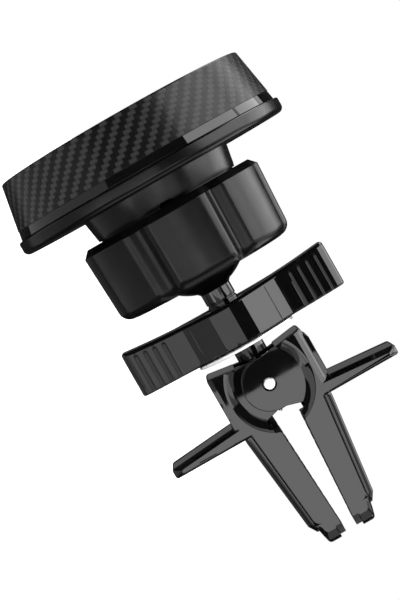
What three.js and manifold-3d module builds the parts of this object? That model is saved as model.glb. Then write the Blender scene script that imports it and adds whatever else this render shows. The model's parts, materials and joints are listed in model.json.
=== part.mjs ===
// Car phone mount: a magnetic head on a lockable ball joint, carried by a spring-closed louver clip.
// Millimetres. X runs along the clip's pivot pin, Y from the phone's face towards the tips of the
// clip's legs, Z is up. The origin lies midway between the grip pads, where the louver sits.
import * as THREE from "three";
import Module from "manifold-3d";
import { mergeVertices } from "three/addons/utils/BufferGeometryUtils.js";

// Main stations along Y
const FACE_Y = -59.3;
const RIM_TOP_Y = -50.56;
const RIM_BOTTOM_Y = -48.36;
const NUT_TOP_Y = -44.78;
const BALL_Y = -39.13;
const NUT_BOTTOM_Y = -32.75;
const WHEEL_TOP_Y = -29.16;
const WHEEL_BOTTOM_Y = -21.8;
const WASHER_BOTTOM_Y = -21.3;
const PIVOT_Y = -15;
const PAD_TOP_Y = -9.74;
const PAD_TIP_Y = 9.05;
const LEG_TIP_Y = 9.73;

// Head
const FACE_R = 19.65;
const WALL_R = 21.2;
const RIM_R = 21.7;
const BORE_FRONT_R = 18.2;
const BORE_BACK_R = 19.6;
const PAD_R = 18.8;
const WEB_FRONT_Y = FACE_Y + 1.25;
const WEB_BACK_Y = FACE_Y + 2.45;
const MAGNET_R = 4.5;
const MAGNET_THICK = 3;
const MAGNET_CIRCLE_R = 11;
const MAGNET_COUNT = 6;
const MAGNET_Y = WEB_BACK_Y + 0.05;
const YOKE_Y = MAGNET_Y + MAGNET_THICK + 0.05;
const YOKE_THICK = 1;
const FLANGE_Y = YOKE_Y + YOKE_THICK + 0.05;
const BOSS_R = 1.6;
const BOSS_CIRCLE_R = 16.2;
const BOSS_COUNT = 3;
const BOSS_GAP = 0.25;
const SCREW_R = 0.8;
const SCREW_HEAD_R = 1.5;
const SCREW_HEAD_THICK = 0.95;

// Ball joint
const BALL_R = 8.5;
const LINER_IN_R = 8.6;
const LINER_OUT_R = 9.5;
const CAVITY_R = 9.7;
const SEAT_ANGLE = 28;
const LINER_TOP_ANGLE = 50;
const LINER_LIP_ANGLE = 119;
const COLLAR_TOP_R = 11.95;
const COLLAR_LOW_R = 11.36;
const THREAD_R = 11;
const FINGER_R = 10.9;
const FINGER_LIP_R = 9.9;
const FINGER_TAPER_Y = BALL_Y + 1;
const FINGER_LIP_Y = BALL_Y + 4.83;
const SLOT_COUNT = 4;
const SLOT_WIDTH = 2.2;
const SLOT_TOP_Y = NUT_TOP_Y - 0.62;
const NUT_R = 14.52;
const NUT_LOW_R = 14;
const NUT_BORE_R = 11.3;
const NUT_POCKET_R = 12.15;
const NUT_MOUTH_R = 9.3;
const NUT_FLOOR = 1.05;
const FLUTE_COUNT = 7;
const FLUTE_R = 1.35;
const FLUTE_CIRCLE_R = 14.75;
const FLUTE_PHASE = 27.55;
const RING_GAP = 0.2;

// Stud and wheel
const ROD_R = 2.35;
const TONGUE_HALF = 1.15;
const TONGUE_R = 2;
const EYE_R = 1.1;
const PIN_R = 1;
const WHEEL_HALF = 16.86;
const WHEEL_TOP_SAG = 1;
const WHEEL_BELLY = 0.27;
const HUB_R = 6.3;
const WING_ROOT = 3.4;
const WING_TIP = 2.6;
const WHEEL_BORE_R = 2.45;
const WASHER_R = 7.8;
const WASHER_THICK = 0.45;

// Clip
const CLIP_HALF = 6.3;
const RIB_HALF = 5;
const HUB_CLEAR_R = 5.35;
const CONE_R = 6.91;
const CONE_DEPTH = 1.3;
const WEB_R = 4.04;
const OUTER_WEB = [4.2, 5.6];
const INNER_WEB = [2.7, 4.1];
const NECK_CLEAR = 3.3;
const SHOULDER_Z = 7.8;
const SHOULDER_Y = -20;
const VEE_Y = -18.9;
const ARM_Z = 18.55;
const PAD_TOP_Z = 1.97;
const PAD_TIP_Z = 0.89;
const PAD_THICK = 0.9;
const PAD_HALF = 5.9;
const LIP_BACK = 0.12;

// Spring
const WIRE_R = 0.25;
const COIL_R = 1.85;
const SPRING_LEG_R = 4.6;

const SMOOTH = 44;
const MEDIUM = 28;
const COARSE = 16;

const wasm = await Module();
wasm.setup();

// A closed geometry as a solid that can be joined and cut.
function solidOf(geometry) {
  const bare = geometry.index ? geometry.toNonIndexed() : geometry.clone();
  bare.deleteAttribute("normal");
  bare.deleteAttribute("uv");
  const merged = mergeVertices(bare, 1e-4);
  const corners = merged.index.array;
  const triangles = [];
  for (let i = 0; i < corners.length; i += 3) {
    const [a, b, c] = corners.slice(i, i + 3);
    if (a !== b && b !== c && c !== a) {
      triangles.push(a, b, c);
    }
  }
  return new wasm.Manifold(new wasm.Mesh({
    numProp: 3,
    vertProperties: Float32Array.from(merged.attributes.position.array),
    triVerts: Uint32Array.from(triangles),
  }));
}

function geometryOf(solid) {
  const mesh = solid.getMesh();
  const geometry = new THREE.BufferGeometry();
  geometry.setAttribute("position", new THREE.BufferAttribute(mesh.vertProperties, 3));
  geometry.setIndex(new THREE.BufferAttribute(mesh.triVerts, 1));
  geometry.computeVertexNormals();
  return geometry;
}

function cut(body, tools) {
  return geometryOf(tools.reduce((left, tool) => left.subtract(solidOf(tool)), solidOf(body)));
}

function join(pieces) {
  return geometryOf(pieces.slice(1).reduce((sum, piece) => sum.add(solidOf(piece)), solidOf(pieces[0])));
}

function intersect(a, b) {
  return geometryOf(solidOf(a).intersect(solidOf(b)));
}

// A body turned about Y from [radius, y] pairs, listed in either direction round the profile.
function turned(profile, sides = SMOOTH) {
  const points = profile.map(([r, y]) => new THREE.Vector2(r, y));
  const onAxis = profile[0][0] === 0 && profile.at(-1)[0] === 0;
  if (!THREE.ShapeUtils.isClockWise(points)) {
    if (!onAxis) {
      points.push(points[0].clone());
    }
    return new THREE.LatheGeometry(points, sides);
  }
  points.reverse();
  if (!onAxis) {
    points.push(points[0].clone());
  }
  return new THREE.LatheGeometry(points, sides);
}

// [radius, y] points on a circle about the ball's centre; angles in degrees from the phone's side.
function ballArc(radius, from, to, steps) {
  return Array.from({ length: steps + 1 }, (_, i) => {
    const angle = THREE.MathUtils.degToRad(from + ((to - from) * i) / steps);
    const r = Math.abs(Math.sin(angle)) < 1e-9 ? 0 : radius * Math.sin(angle);
    return [r, BALL_Y - radius * Math.cos(angle)];
  });
}

function spherical(outer, inner, from, to, steps, sides) {
  return turned([...ballArc(outer, from, to, steps), ...ballArc(inner, to, from, steps)], sides);
}

// A cylinder along Y between two stations.
function post(radius, y0, y1, x = 0, z = 0, sides = COARSE) {
  const geometry = new THREE.CylinderGeometry(radius, radius, y1 - y0, sides);
  return geometry.translate(x, (y0 + y1) / 2, z);
}

// A cylinder or cone along X, centred on the pivot pin.
function axle(radius0, radius1, x0, x1, sides = MEDIUM) {
  const geometry = new THREE.CylinderGeometry(radius0, radius1, x1 - x0, sides);
  geometry.rotateZ(Math.PI / 2);
  return geometry.translate((x0 + x1) / 2, PIVOT_Y, 0);
}

function box(x0, x1, y0, y1, z0, z1) {
  const geometry = new THREE.BoxGeometry(x1 - x0, y1 - y0, z1 - z0);
  return geometry.translate((x0 + x1) / 2, (y0 + y1) / 2, (z0 + z1) / 2);
}

function shapeOf(points) {
  return new THREE.Shape(points.map(([a, b]) => new THREE.Vector2(a, b)));
}

// An outline of [x, z] pairs raised along Y.
function raised(outline, y0, y1) {
  const shape = shapeOf(outline.map(([x, z]) => [x, -z]));
  const geometry = new THREE.ExtrudeGeometry(shape, { depth: y1 - y0, bevelEnabled: false });
  geometry.rotateX(-Math.PI / 2);
  return geometry.translate(0, y0, 0);
}

// An outline of [z, y] pairs carried along X.
function slab(outline, x0, x1) {
  const shape = shapeOf(outline.map(([z, y]) => [-z, y]));
  const geometry = new THREE.ExtrudeGeometry(shape, { depth: x1 - x0, bevelEnabled: false });
  geometry.rotateY(Math.PI / 2);
  return geometry.translate(x0, 0, 0);
}

function around(count, radius, phase, make) {
  return Array.from({ length: count }, (_, i) => {
    const angle = THREE.MathUtils.degToRad(phase + (360 * i) / count);
    return make(radius * Math.cos(angle), radius * Math.sin(angle), i);
  });
}

function finish(color, roughness, metalness) {
  return new THREE.MeshStandardMaterial({ color, roughness, metalness });
}

const GLOSS_BLACK = finish(0x0d0d0e, 0.14, 0);
const SATIN_BLACK = finish(0x2a2b2d, 0.38, 0);
const CARBON = finish(0x1c1d20, 0.3, 0.1);
const RUBBER = finish(0x17181a, 0.8, 0);
const MAGNET = finish(0xb9bcc0, 0.25, 1);
const STEEL = finish(0xd6d8da, 0.2, 1);
const NYLON = finish(0xd9d6cd, 0.5, 0);

const mount = new THREE.Group();

function add(name, geometry, material, parent = mount) {
  const mesh = new THREE.Mesh(geometry, material);
  mesh.name = name;
  parent.add(mesh);
  return mesh;
}

// ---- Magnetic head ----

function bossHoles(radius, y0, y1) {
  return around(BOSS_COUNT, BOSS_CIRCLE_R, 30, (x, z) => post(radius, y0, y1, x, z));
}

function facePad() {
  return turned([[0, FACE_Y], [PAD_R - 0.3, FACE_Y], [PAD_R, FACE_Y + 0.3], [PAD_R, WEB_FRONT_Y - 0.05],
    [0, WEB_FRONT_Y - 0.05]]);
}

function headShell() {
  const lip = FACE_Y + 0.1;
  const back = RIM_TOP_Y - 0.05;
  const cup = turned([[0, WEB_FRONT_Y], [PAD_R + 0.1, WEB_FRONT_Y], [PAD_R + 0.1, lip],
    [FACE_R - 0.4, lip], [FACE_R - 0.1, lip + 0.1], [FACE_R, lip + 0.4], [WALL_R, back],
    [BORE_BACK_R, back], [BORE_FRONT_R, WEB_BACK_Y], [0, WEB_BACK_Y]]);
  const bosses = bossHoles(BOSS_R, WEB_BACK_Y - 0.4, FLANGE_Y + 1.7);
  const pilots = bossHoles(SCREW_R + 0.1, WEB_BACK_Y + 0.6, FLANGE_Y + 3);
  return cut(join([cup, ...bosses]), pilots);
}

function magnetTray() {
  const disc = turned([[0, MAGNET_Y], [BORE_FRONT_R - 0.3, MAGNET_Y],
    [BORE_FRONT_R - 0.3, MAGNET_Y + MAGNET_THICK], [0, MAGNET_Y + MAGNET_THICK]]);
  const pockets = around(MAGNET_COUNT, MAGNET_CIRCLE_R, 0, (x, z) =>
    post(MAGNET_R + 0.1, MAGNET_Y - 1, YOKE_Y + 1, x, z, MEDIUM));
  return cut(disc, [...pockets, ...bossHoles(BOSS_R + BOSS_GAP, MAGNET_Y - 1, YOKE_Y + 1)]);
}

function yokePlate() {
  const y1 = YOKE_Y + YOKE_THICK;
  const disc = turned([[0, YOKE_Y], [BORE_FRONT_R - 0.6, YOKE_Y], [BORE_FRONT_R - 0.6, y1], [0, y1]]);
  return cut(disc, bossHoles(BOSS_R + BOSS_GAP, YOKE_Y - 1, y1 + 1));
}

function rearCover() {
  const spigotY = RIM_TOP_Y - 1.1;
  const plate = turned([[COLLAR_TOP_R + 0.1, RIM_TOP_Y], [BORE_FRONT_R - 0.2, RIM_TOP_Y],
    [BORE_FRONT_R - 0.2, spigotY], [BORE_BACK_R - 0.45, spigotY], [BORE_BACK_R - 0.45, RIM_TOP_Y],
    [RIM_R - 0.3, RIM_TOP_Y], [RIM_R, RIM_TOP_Y + 0.3], [RIM_R, RIM_BOTTOM_Y - 0.9],
    [RIM_R - 0.27, RIM_BOTTOM_Y - 0.27], [RIM_R - 0.9, RIM_BOTTOM_Y], [COLLAR_TOP_R + 0.1, RIM_BOTTOM_Y]]);
  const seatY = RIM_BOTTOM_Y - SCREW_HEAD_THICK - 0.15;
  return cut(plate, [...bossHoles(SCREW_R + 0.15, spigotY - 1, RIM_BOTTOM_Y + 1),
    ...bossHoles(SCREW_HEAD_R + 0.15, seatY, RIM_BOTTOM_Y + 1)]);
}

function coverScrew(x, z) {
  const top = RIM_BOTTOM_Y - 0.1;
  const under = top - SCREW_HEAD_THICK;
  const end = WEB_BACK_Y + 1;
  const screw = turned([[0, top], [SCREW_HEAD_R, top], [SCREW_HEAD_R, under], [SCREW_R, under],
    [SCREW_R, end + 0.3], [SCREW_R - 0.3, end], [0, end]], COARSE);
  return screw.translate(x, 0, z);
}

function ballSocket() {
  const flangeR = BORE_FRONT_R - 2.8;
  const flangeEnd = RIM_TOP_Y - 0.05;
  const lipAngle = THREE.MathUtils.radToDeg(Math.acos((BALL_Y - FINGER_LIP_Y) / CAVITY_R));
  const collar = turned([[0, FLANGE_Y], [flangeR, FLANGE_Y], [flangeR, flangeEnd],
    [COLLAR_TOP_R, flangeEnd], [COLLAR_TOP_R, RIM_BOTTOM_Y], [COLLAR_LOW_R, NUT_TOP_Y - 0.4],
    [THREAD_R, NUT_TOP_Y - 0.2], [THREAD_R, FINGER_TAPER_Y - 1.5], [FINGER_R, FINGER_TAPER_Y],
    [FINGER_LIP_R, FINGER_LIP_Y], ...ballArc(CAVITY_R, lipAngle, 0, 8)]);
  const slots = around(SLOT_COUNT, 1, 0, (x, z) => {
    const slot = box(6, 13, SLOT_TOP_Y, FINGER_LIP_Y + 1, -SLOT_WIDTH / 2, SLOT_WIDTH / 2);
    return slot.rotateY(Math.atan2(-z, x));
  });
  return cut(collar, [...slots, ...bossHoles(BOSS_R + BOSS_GAP, FLANGE_Y - 1, RIM_TOP_Y + 1)]);
}

const head = new THREE.Group();
mount.add(head);
add("face_pad", facePad(), RUBBER, head);
add("head_shell", headShell(), CARBON, head);
around(MAGNET_COUNT, MAGNET_CIRCLE_R, 0, (x, z, i) => {
  const disc = post(MAGNET_R, MAGNET_Y, MAGNET_Y + MAGNET_THICK, 0, 0, MEDIUM);
  add(`magnet_${i + 1}`, disc, MAGNET, head).position.set(x, 0, z);
});
add("magnet_tray", magnetTray(), SATIN_BLACK, head);
add("yoke_plate", yokePlate(), STEEL, head);
add("rear_cover", rearCover(), GLOSS_BLACK, head);
around(BOSS_COUNT, BOSS_CIRCLE_R, 30, (x, z, i) => {
  add(`cover_screw_${i + 1}`, coverScrew(x, z), STEEL, head);
});
add("ball_socket", ballSocket(), GLOSS_BLACK, head);

// ---- Ball joint ----

function compressionRing() {
  const y0 = FINGER_TAPER_Y + 0.3;
  const y1 = FINGER_LIP_Y + 0.3;
  const taper = (FINGER_R - FINGER_LIP_R) / (FINGER_LIP_Y - FINGER_TAPER_Y);
  const inner = (y) => FINGER_R - taper * (y - FINGER_TAPER_Y) + RING_GAP;
  const outer = NUT_POCKET_R - 0.15;
  return turned([[inner(y0), y0], [outer, y0], [outer, y1], [inner(y1), y1]]);
}

function lockNut() {
  const floorY = NUT_BOTTOM_Y - NUT_FLOOR;
  const pocketY = FINGER_TAPER_Y + 0.1;
  const drum = turned([[NUT_BORE_R, NUT_TOP_Y], [NUT_R - 1.03, NUT_TOP_Y], [NUT_R, NUT_TOP_Y + 1.1],
    [NUT_LOW_R, NUT_BOTTOM_Y - 1.8], [NUT_LOW_R - 0.28, NUT_BOTTOM_Y - 1.05],
    [NUT_LOW_R - 0.95, NUT_BOTTOM_Y - 0.35], [NUT_LOW_R - 2, NUT_BOTTOM_Y], [NUT_MOUTH_R, NUT_BOTTOM_Y],
    [NUT_MOUTH_R, floorY], [NUT_POCKET_R, floorY], [NUT_POCKET_R, pocketY], [NUT_BORE_R, pocketY]],
    7 * FLUTE_COUNT);
  const flutes = around(FLUTE_COUNT, FLUTE_CIRCLE_R, FLUTE_PHASE, (x, z) =>
    post(FLUTE_R, NUT_TOP_Y - 1, NUT_BOTTOM_Y + 1, x, z, 14));
  return cut(drum, flutes);
}

function ballStud() {
  const neckAngle = 180 - THREE.MathUtils.radToDeg(Math.asin(ROD_R / BALL_R));
  const rodEnd = PIVOT_Y - 3.4;
  const rod = turned([...ballArc(BALL_R, 0, neckAngle, 13), [ROD_R, rodEnd - 0.3], [ROD_R - 0.3, rodEnd],
    [0, rodEnd]], 36);
  const end = Array.from({ length: 11 }, (_, i) => {
    const angle = (Math.PI * i) / 10;
    return [TONGUE_R * Math.cos(angle), PIVOT_Y + TONGUE_R * Math.sin(angle)];
  });
  const tongue = slab([[-TONGUE_R, rodEnd - 1], [TONGUE_R, rodEnd - 1], ...end], -TONGUE_HALF, TONGUE_HALF);
  return cut(join([rod, tongue]), [axle(EYE_R, EYE_R, -3, 3, COARSE)]);
}

const joint = new THREE.Group();
mount.add(joint);
add("seat_pad", spherical(LINER_OUT_R, LINER_IN_R, 0, SEAT_ANGLE, 5, MEDIUM), NYLON, joint);
add("ball_liner", spherical(LINER_OUT_R, LINER_IN_R, LINER_TOP_ANGLE, LINER_LIP_ANGLE, 6, MEDIUM), NYLON, joint);
add("compression_ring", compressionRing(), NYLON, joint);
add("lock_nut", lockNut(), SATIN_BLACK, joint);
add("ball_stud", ballStud(), GLOSS_BLACK, joint);

// ---- Clamp wheel ----

// One quarter of the wheel seen along Y, from the hub's side to the middle of the wing's end.
function wingQuarter() {
  const hub = Array.from({ length: 6 }, (_, i) => {
    const angle = THREE.MathUtils.degToRad(9.6 * i);
    return [HUB_R * Math.cos(angle), HUB_R * Math.sin(angle)];
  });
  const root = [[WING_ROOT + 0.55, 5.9], [WING_ROOT + 0.15, 7], [WING_ROOT, 8.8]];
  const corner = [[WING_TIP, WHEEL_HALF - 1.17], [WING_TIP - 0.35, WHEEL_HALF - 0.4],
    [WING_TIP - 1.1, WHEEL_HALF]];
  return [...hub, ...root, ...corner];
}

function clampWheel() {
  const quarter = wingQuarter();
  const half = [...quarter, ...quarter.map(([x, z]) => [-x, z]).reverse()];
  const outline = [...half, ...half.slice(1, -1).map(([x, z]) => [-x, -z])];
  const prism = raised(outline, WHEEL_TOP_Y - 1, WHEEL_BOTTOM_Y + 1);
  const bow = (y, rise) => Array.from({ length: 13 }, (_, i) => {
    const t = i / 6 - 1;
    return [t * (WHEEL_HALF + 0.1), y + rise * (1 - t * t)];
  });
  const top = bow(WHEEL_TOP_Y, WHEEL_TOP_SAG);
  const belly = bow(WHEEL_BOTTOM_Y - WHEEL_BELLY, WHEEL_BELLY);
  const side = slab([...top, ...belly.reverse()], -HUB_R - 1, HUB_R + 1);
  const bore = post(WHEEL_BORE_R, WHEEL_TOP_Y - 2, WHEEL_BOTTOM_Y + 2, 0, 0, 40);
  return cut(intersect(prism, side), [bore]);
}

add("clamp_wheel", clampWheel(), SATIN_BLACK);
add("thrust_washer", turned([[WHEEL_BORE_R, WASHER_BOTTOM_Y - WASHER_THICK],
  [WASHER_R, WASHER_BOTTOM_Y - WASHER_THICK], [WASHER_R, WASHER_BOTTOM_Y],
  [WHEEL_BORE_R, WASHER_BOTTOM_Y]], 40), STEEL);

// ---- Louver clip ----

const LEG_SLOPE = (PAD_TIP_Z - PAD_TOP_Z) / (PAD_TIP_Y - PAD_TOP_Y);

// Height of a grip pad's inner face at a station along Y.
function padFace(y) {
  return PAD_TOP_Z + LEG_SLOPE * (y - PAD_TOP_Y);
}

function veeY(z) {
  return VEE_Y + ((SHOULDER_Y - VEE_Y) * z) / SHOULDER_Z;
}

// Side view of the upper jaw: shoulder, side arm and leg. legSide and tipSide are the leg's outer
// edge where it leaves the arm and where it ends.
function jawOutline(legSide, legEnd, tipSide) {
  const back = (y) => padFace(y) + PAD_THICK + 0.05;
  const lip = (y) => padFace(y) + LIP_BACK;
  return [[NECK_CLEAR, veeY(NECK_CLEAR)], [SHOULDER_Z - 0.5, veeY(SHOULDER_Z - 0.5)],
    [SHOULDER_Z, SHOULDER_Y + 0.5], [SHOULDER_Z, -11.9], [17.8, -11.05], [ARM_Z - 0.1, -10.7],
    [ARM_Z, -10.3], [ARM_Z - 0.3, -9.8], [17.4, -9.5], legSide, legEnd, tipSide,
    [tipSide[0] - 0.25, LEG_TIP_Y - 0.75], [3.25, LEG_TIP_Y], [back(LEG_TIP_Y), LEG_TIP_Y],
    [back(PAD_TIP_Y), PAD_TIP_Y], [lip(PAD_TIP_Y), PAD_TIP_Y], [lip(PAD_TOP_Y), PAD_TOP_Y],
    [back(PAD_TOP_Y), PAD_TOP_Y], [back(PAD_TOP_Y), PIVOT_Y], [NECK_CLEAR, PIVOT_Y]];
}

function jawWeb([x0, x1]) {
  const fan = slab([[0, PIVOT_Y - WEB_R], [NECK_CLEAR, veeY(NECK_CLEAR)], [5.6, veeY(5.6)], [5.6, -10.3],
    [3.2, -10.3], [0, PIVOT_Y + WEB_R - 0.1]], x0, x1);
  return join([fan, axle(WEB_R, WEB_R, x0, x1)]);
}

function jaw() {
  const ribbed = slab(jawOutline([7.16, -9.4], [5.4, 6.3], [4.45, 7.2]), -RIB_HALF, RIB_HALF);
  const plain = slab(jawOutline([6.2, -9.45], [4.5, 6.3], [4.1, 7.9]), -CLIP_HALF, CLIP_HALF);
  const hub = axle(HUB_CLEAR_R, HUB_CLEAR_R, -CLIP_HALF - 1, CLIP_HALF + 1);
  const deep = CLIP_HALF - CONE_DEPTH;
  const flare = (CONE_R - HUB_CLEAR_R) / CONE_DEPTH;
  const wide = CONE_R + flare;
  const body = cut(join([ribbed, plain]), [hub, axle(HUB_CLEAR_R, wide, deep, CLIP_HALF + 1),
    axle(wide, HUB_CLEAR_R, -CLIP_HALF - 1, -deep)]);
  const innerWeb = [-INNER_WEB[1], -INNER_WEB[0]];
  const webbed = join([body, jawWeb(OUTER_WEB), jawWeb(innerWeb)]);
  return cut(webbed, [axle(EYE_R, EYE_R, -CLIP_HALF - 1, CLIP_HALF + 1, COARSE), gripStrip(1, 0.05)]);
}

// The strip that a grip pad fills, drawn out past both ends and grown on its sides and back.
function gripStrip(past, grown) {
  const y0 = PAD_TOP_Y - past;
  const y1 = PAD_TIP_Y + past;
  const half = PAD_HALF + grown;
  return slab([[padFace(y0) - past, y0], [padFace(y0) + PAD_THICK + grown, y0],
    [padFace(y1) + PAD_THICK + grown, y1], [padFace(y1) - past, y1]], -half, half);
}

function gripPad() {
  return gripStrip(0, 0);
}

// Coils beside the tongue, with a straight leg towards each jaw.
function torsionSpring() {
  const turns = 1.6;
  const x0 = TONGUE_HALF + 0.3;
  const rise = 2 * WIRE_R + 0.06;
  const points = [];
  const start = THREE.MathUtils.degToRad(60);
  const steps = 40;
  const at = (radius, angle, x) =>
    new THREE.Vector3(x, PIVOT_Y + radius * Math.cos(angle), radius * Math.sin(angle));
  for (let i = 0; i <= steps; i++) {
    const turn = (turns * i) / steps;
    points.push(at(COIL_R, start + 2 * Math.PI * turn, x0 + rise * turn));
  }
  const first = points[0].clone().add(new THREE.Vector3(0, Math.sin(start), -Math.cos(start))
    .multiplyScalar(Math.sqrt(SPRING_LEG_R ** 2 - COIL_R ** 2)));
  const end = start + 2 * Math.PI * turns;
  const last = points.at(-1).clone().add(new THREE.Vector3(0, -Math.sin(end), Math.cos(end))
    .multiplyScalar(Math.sqrt(SPRING_LEG_R ** 2 - COIL_R ** 2)));
  const path = new THREE.CurvePath();
  path.add(new THREE.LineCurve3(first, points[0]));
  path.add(new THREE.CatmullRomCurve3(points));
  path.add(new THREE.LineCurve3(points.at(-1), last));
  const sides = 6;
  const wire = Array.from({ length: sides }, (_, i) => {
    const angle = (Math.PI * 2 * i) / sides;
    return new THREE.Vector2(WIRE_R * Math.cos(angle), WIRE_R * Math.sin(angle));
  });
  return new THREE.ExtrudeGeometry(new THREE.Shape(wire), { steps: 48, extrudePath: path });
}

const clip = new THREE.Group();
mount.add(clip);
const lower = new THREE.Group();
lower.rotation.y = Math.PI;
clip.add(lower);
add("upper_jaw", jaw(), SATIN_BLACK, clip);
add("lower_jaw", jaw(), SATIN_BLACK, lower);
add("upper_grip_pad", gripPad(), RUBBER, clip);
add("lower_grip_pad", gripPad(), RUBBER, lower);
add("pivot_pin", axle(PIN_R, PIN_R, -OUTER_WEB[1] - 0.25, OUTER_WEB[1] + 0.25, COARSE), STEEL, clip);
add("torsion_spring", torsionSpring(), STEEL, clip);

export default mount;
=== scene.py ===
"""Looks of a magnetic car phone mount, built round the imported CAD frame.

The pieces are modelled in millimetres in the row frame: X along the clip's pivot pin, Y from the phone's
face towards the tips of the clip's legs, Z up. place() turns them into metres and hands them to the frame.
"""

import json
import math

import bmesh
import bpy
from mathutils import Matrix, Vector


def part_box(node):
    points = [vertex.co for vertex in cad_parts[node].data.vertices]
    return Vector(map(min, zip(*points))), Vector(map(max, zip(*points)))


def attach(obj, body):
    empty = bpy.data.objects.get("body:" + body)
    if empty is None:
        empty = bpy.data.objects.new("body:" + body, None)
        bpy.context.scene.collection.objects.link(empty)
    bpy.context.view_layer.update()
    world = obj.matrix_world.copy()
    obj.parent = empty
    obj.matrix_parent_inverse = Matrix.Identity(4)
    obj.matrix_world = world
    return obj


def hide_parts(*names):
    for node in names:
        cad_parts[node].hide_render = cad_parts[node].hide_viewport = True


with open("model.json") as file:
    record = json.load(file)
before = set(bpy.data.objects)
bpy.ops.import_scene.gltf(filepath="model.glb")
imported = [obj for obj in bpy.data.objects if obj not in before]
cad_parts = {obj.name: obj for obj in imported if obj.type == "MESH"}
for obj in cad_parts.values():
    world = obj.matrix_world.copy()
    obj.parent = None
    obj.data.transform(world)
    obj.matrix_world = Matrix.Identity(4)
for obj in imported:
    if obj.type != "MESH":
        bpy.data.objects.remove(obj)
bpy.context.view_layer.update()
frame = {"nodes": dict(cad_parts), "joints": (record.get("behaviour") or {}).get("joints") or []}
MM = 0.001
SIDES = 192


def low(node):
    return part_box(node)[0] / MM


def high(node):
    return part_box(node)[1] / MM


def joint_point(name):
    """A joint's place in millimetres."""
    return Vector(next(j for j in frame["joints"] if j["name"] == name)["pos_m"]) / MM


# Stations along Y and radii, from the frame or in millimetres
FACE_Y = low("face_pad").y
PAD_BACK_Y = high("face_pad").y
SHELL_BACK_Y = high("head_shell").y
RIM_BOTTOM_Y = high("rear_cover").y
NUT_TOP_Y = low("lock_nut").y
NUT_BOTTOM_Y = high("lock_nut").y
BALL_Y = joint_point("swivel_pitch").y
WHEEL_TOP_Y = low("clamp_wheel").y
WHEEL_BOTTOM_Y = high("clamp_wheel").y
PIVOT_Y = joint_point("upper_jaw_hinge").y
GRIP_TOP_Y = low("upper_grip_pad").y
GRIP_TIP_Y = high("upper_grip_pad").y
LEG_TIP_Y = high("upper_jaw").y

# Head
PAD_R = high("face_pad").z
FACE_R = 19.65
SHELL_R = high("head_shell").z
RIM_R = high("rear_cover").z
RIM_TOP_Y = SHELL_BACK_Y + 0.05
COVER_STEP = 0.18
SPIGOT_DEPTH = 1.1
PAD_RINGS = (9.0, 15.6)
BAND_Y = -52.03
BAND_STEP = 0.07
WEAVE_CELLS = 208
WEAVE_CELL = 0.65
WEAVE_SHIFT = 1.72
BORE_R = 18.2
BORE_BACK_R = 19.6
WEB_BACK_Y = FACE_Y + 2.45
FLANGE_Y = low("ball_socket").y
FLANGE_R = 15.4
COLLAR_TOP_R = 11.95
COLLAR_LOW_R = 11.36
THREAD_R = 11
CAVITY_R = 9.7
FINGER_TIP_Y = high("ball_socket").y
SLOT_WIDTH = 2.2

# Ball joint
BALL_R = high("ball_stud").z
LINER_IN_R = 8.6
LINER_OUT_R = 9.5
NUT_R = 14.52
NUT_LOW_R = 14
NUT_BORE_R = 11.3
NUT_POCKET_R = 12.15
NUT_MOUTH_R = 9.3
NUT_FLOOR_Y = NUT_BOTTOM_Y - 1.05
NUT_POCKET_Y = BALL_Y + 1.1
FLUTES = 7
FLUTE_HALF = 3.2
FLUTE_SHARPNESS = 2.4
FLUTE_DEPTH = 1.12
FLUTE_START_R = 12.2
FLUTE_FADE = 1.6
FLUTE_PHASE = 27.55
ROD_R = 2.35
ROD_GROOVE_Y = -28.75
TONGUE_HALF = 1.15
TONGUE_R = 2
EYE_R = 1.1

# Wheel
WHEEL_HALF = high("clamp_wheel").z
WHEEL_SAG = 1
WHEEL_BELLY = 0.27
WHEEL_CORNER = 0.5
WHEEL_END = 1.25
WHEEL_BORE_R = 2.45
HUB_LINE_Z = 6.3
HUB_LINE_R = 0.08
GROOVES_Z = [10.56, 12.02, 13.49, 14.96]
GROOVE_R = 0.33

# Clip
CLIP_HALF = high("upper_jaw").x
ARM_Z = high("upper_jaw").z
HUB_CLEAR_R = 5.1
CONE_R = 6.55
CONE_DEPTH = 0.5
CONE_STRETCH = 1.11
WEB_R = 4.04
OUTER_WEB = (4.2, 5.6)
INNER_WEB = (2.7, 4.1)
NECK_CLEAR = 3.3
SHOULDER_Z = 7.8
VEE_Y = -18.9
VEE_SLOPE = -1.1 / 7.8
GRIP_TOP_Z = 1.97
GRIP_TIP_Z = 0.89
GRIP_THICK = 0.9
GRIP_HALF = high("upper_grip_pad").x
LIP_BACK = 0.12
SLANT = 0.105
SPRING_WIRE = 0.25

# Studio, in metres
PANEL_X = 0.8
CAMERA_AT = Vector((0.3446, -0.0441, 0))
CAMERA_AIM = Vector((0, -0.0303, -0.00277))
CAMERA_ROLL = Vector((0, 0.4957, 0.8686))
CAMERA_LENS = 141


# ---- Mesh building ----


def add_object(name, data):
    """A new object in the scene."""
    made = bpy.data.objects.new(name, data)
    bpy.context.scene.collection.objects.link(made)
    return made


def add_work(name, work, mesh=None):
    """A mesh object from a bmesh, which is freed."""
    mesh = mesh or bpy.data.meshes.new(name)
    work.to_mesh(mesh)
    work.free()
    return add_object(name, mesh)


def link(name, vertices, faces):
    """A mesh object with its faces turned outwards."""
    mesh = bpy.data.meshes.new(name)
    mesh.from_pydata(vertices, [], faces)
    work = bmesh.new()
    work.from_mesh(mesh)
    bmesh.ops.recalc_face_normals(work, faces=work.faces)
    return add_work(name, work, mesh)


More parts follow.
